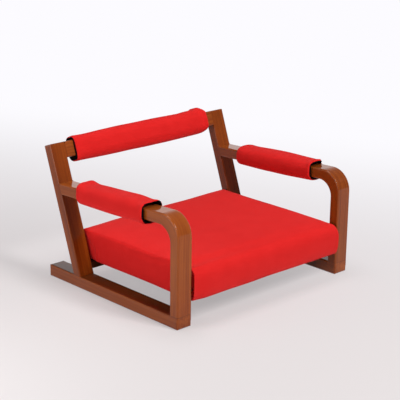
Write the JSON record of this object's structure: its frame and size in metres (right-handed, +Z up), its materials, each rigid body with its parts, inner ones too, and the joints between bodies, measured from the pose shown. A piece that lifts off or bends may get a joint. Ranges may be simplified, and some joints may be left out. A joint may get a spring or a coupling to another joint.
{
  "type": "floor chair",
  "caption": "Legless floor chair with closed wooden side frames on floor runners, an upholstered box seat, and loose padded sleeves on the back rail and both arms.",
  "frame": {"origin": "middle of the chair's outline, seen from above, at floor level", "axes": "+Z up, the front of the chair looks along -Y, +X on the right of someone who faces the chair's front"},
  "size_m": [0.6232, 0.5181, 0.3616],
  "materials": {
    "frame_wood": "brown stained hardwood under semi-gloss lacquer",
    "plain_wood": "bare beech and plywood",
    "seat_fabric": "red plain-weave cotton canvas",
    "lining": "black backing cloth on thin foam",
    "foam": "open-cell upholstery foam",
    "steel": "zinc plated"
  },
  "bodies": {
    "chair": {"left_runner": "frame_wood", "right_runner": "frame_wood", "left_back_post": "frame_wood", "right_back_post": "frame_wood", "left_arm": "frame_wood", "right_arm": "frame_wood", "back_rail": "frame_wood", "rear_stretcher": "frame_wood", "leg_dowels": "plain_wood", "post_dowels": "plain_wood", "arm_dowels": "plain_wood", "back_rail_dowels": "plain_wood", "stretcher_dowels": "plain_wood", "left_seat_rail": "plain_wood", "right_seat_rail": "plain_wood", "front_seat_rail": "plain_wood", "rear_seat_rail": "plain_wood", "seat_rail_dowels": "plain_wood", "seat_deck": "plain_wood", "deck_screws": "steel", "seat_foam": "foam", "seat_cover": "seat_fabric", "dust_cover": "lining", "seat_bolts": "steel", "bolt_washers": "steel", "threaded_inserts": "steel"},
    "back_sleeve": {"back_sleeve_liner": "lining", "back_sleeve_cover": "seat_fabric"},
    "left_sleeve": {"left_sleeve_liner": "lining", "left_sleeve_cover": "seat_fabric"},
    "right_sleeve": {"right_sleeve_liner": "lining", "right_sleeve_cover": "seat_fabric"}
  },
  "joints": [
    {"name": "back_sleeve_slide", "type": "slide", "parent": "chair", "child": "back_sleeve", "axis": [1, 0, 0], "range_m": [-0.025, 0.032]},
    {"name": "left_sleeve_slide", "type": "slide", "parent": "chair", "child": "left_sleeve", "axis": [0, 0.9991, -0.0419], "range_m": [-0.042, 0.06]},
    {"name": "right_sleeve_slide", "type": "slide", "parent": "chair", "child": "right_sleeve", "axis": [0, 0.9991, -0.0419], "range_m": [-0.022, 0.058]}
  ]
}
